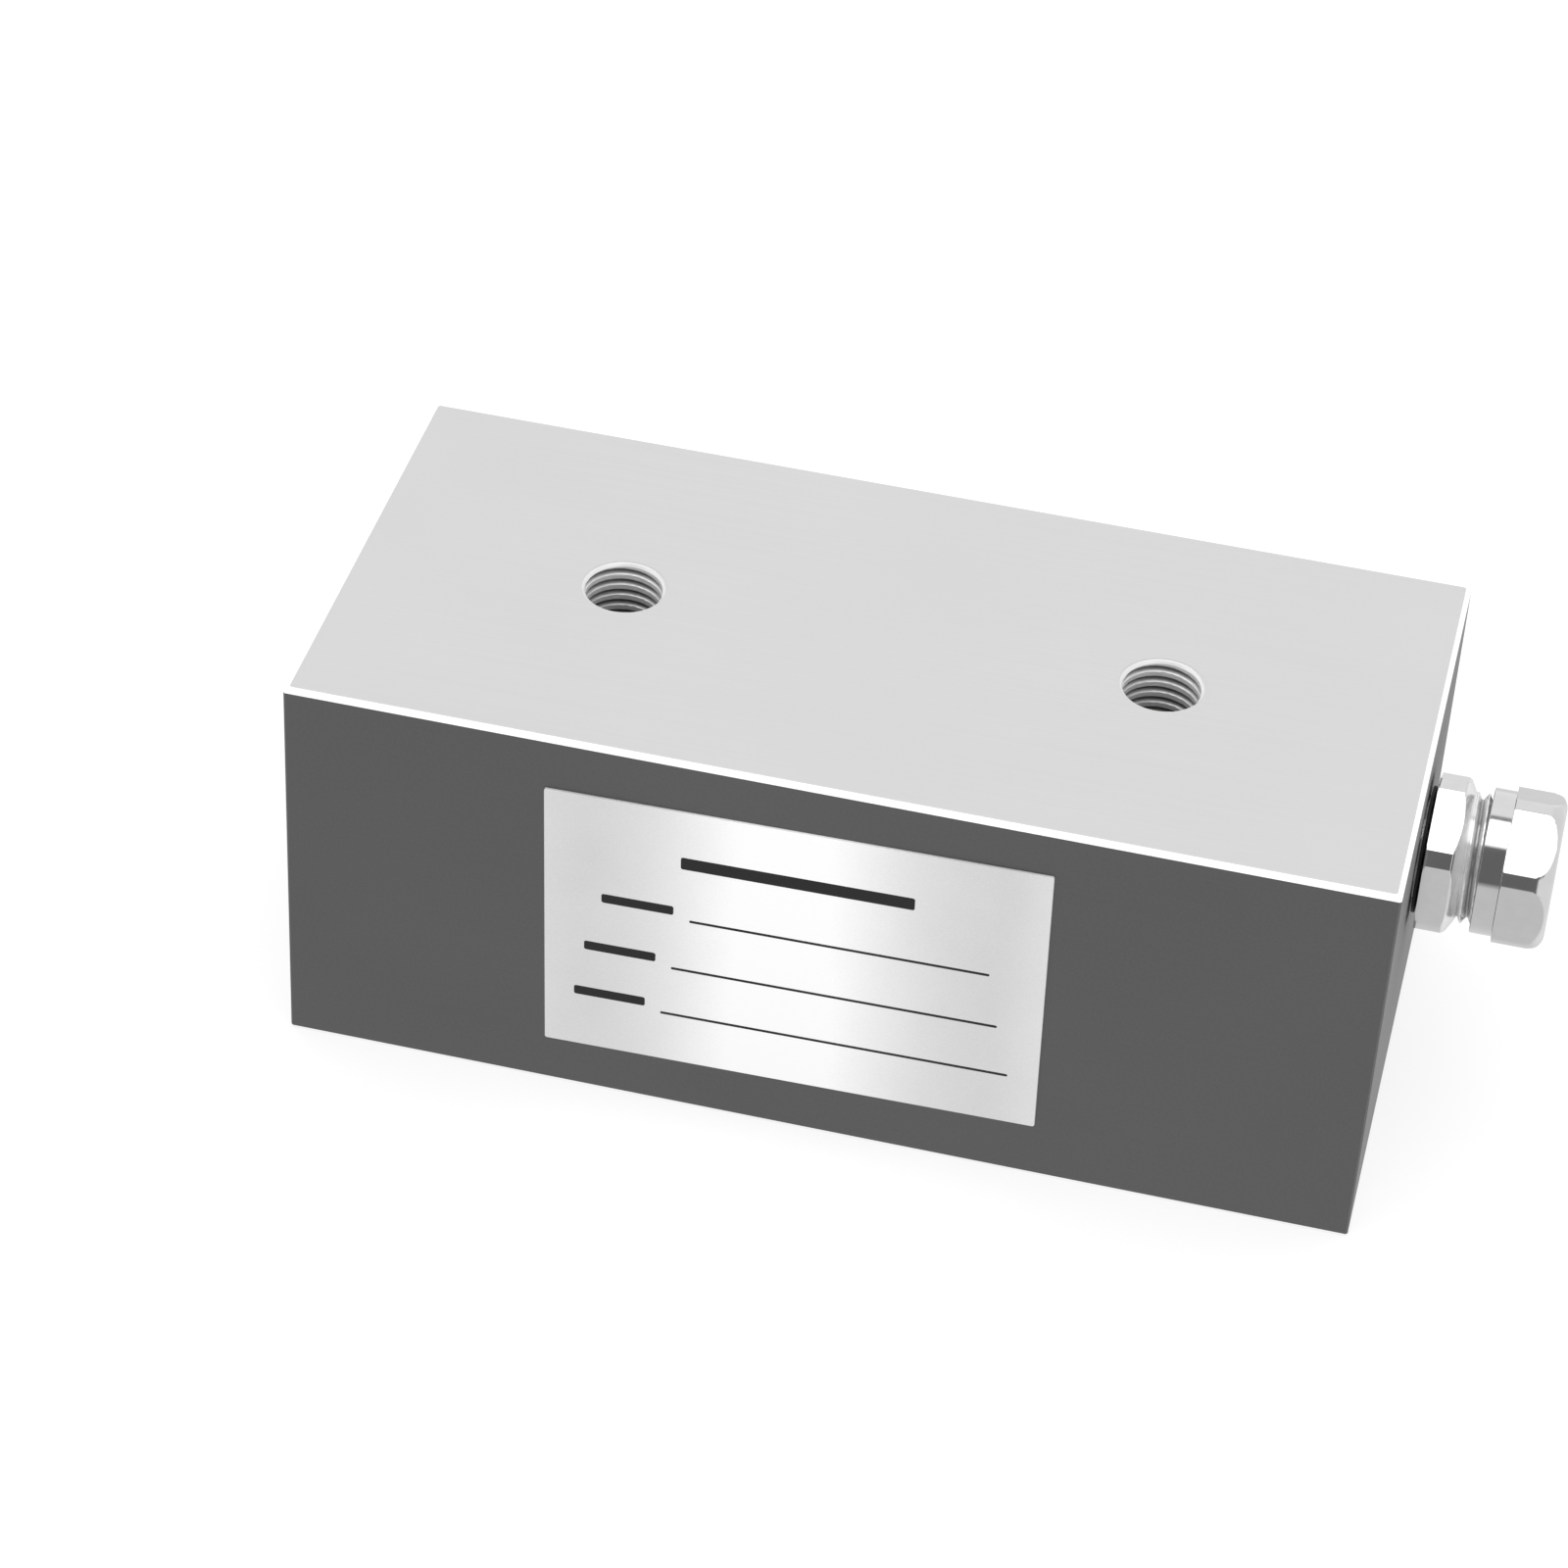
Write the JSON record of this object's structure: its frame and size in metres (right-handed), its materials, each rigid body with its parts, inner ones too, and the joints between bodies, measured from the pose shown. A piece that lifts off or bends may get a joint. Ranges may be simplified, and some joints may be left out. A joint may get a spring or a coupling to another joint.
{
  "type": "holding electromagnet",
  "caption": "Rectangular holding electromagnet: steel block with a potted coil round its centre pole, tapped mounting holes in the top and a metal cable gland in one end.",
  "frame": {"origin": "centre of the holding face, on the centre pole", "axes": "+X along the block towards the cable gland, +Y across it away from the nameplate, +Z from the holding face up to the mounting face"},
  "size_m": [0.1685, 0.0707, 0.06],
  "materials": {
    "machined_steel": "ground top face, darker satin machined sides",
    "satin_aluminium": "fine satin plate with a soft sheen",
    "nickel_plated_brass": "bright nickel plate",
    "nickel_plated_nut": "bright nickel plate",
    "black_rubber": "matte moulded ring",
    "seal_rubber": "matte moulded sleeve",
    "claw_plastic": "moulded",
    "bobbin_plastic": "moulded, glass filled",
    "enamelled_copper": "enamelled wire, laid in close turns",
    "coil_tape": "wound insulating tape",
    "lead_copper": "enamelled wire",
    "lead_sleeving": "braided glass sleeving",
    "tinned_ferrule": "tinned and crimped",
    "potting_resin": "cast and ground just below the face"
  },
  "bodies": {
    "root": {"housing": "machined_steel", "nameplate": "satin_aluminium", "gland_washer": "black_rubber", "gland_body": "nickel_plated_brass", "gland_cap_nut": "nickel_plated_nut", "gland_claw": "claw_plastic", "gland_seal": "seal_rubber", "bobbin": "bobbin_plastic", "coil_winding": "enamelled_copper", "coil_tape": "coil_tape", "coil_lead_start": "lead_copper", "coil_lead_finish": "lead_copper", "lead_sleeve_start": "lead_sleeving", "lead_sleeve_finish": "lead_sleeving", "lead_ferrule_start": "tinned_ferrule", "lead_ferrule_finish": "tinned_ferrule", "potting_resin": "potting_resin"}
  },
  "joints": []
}
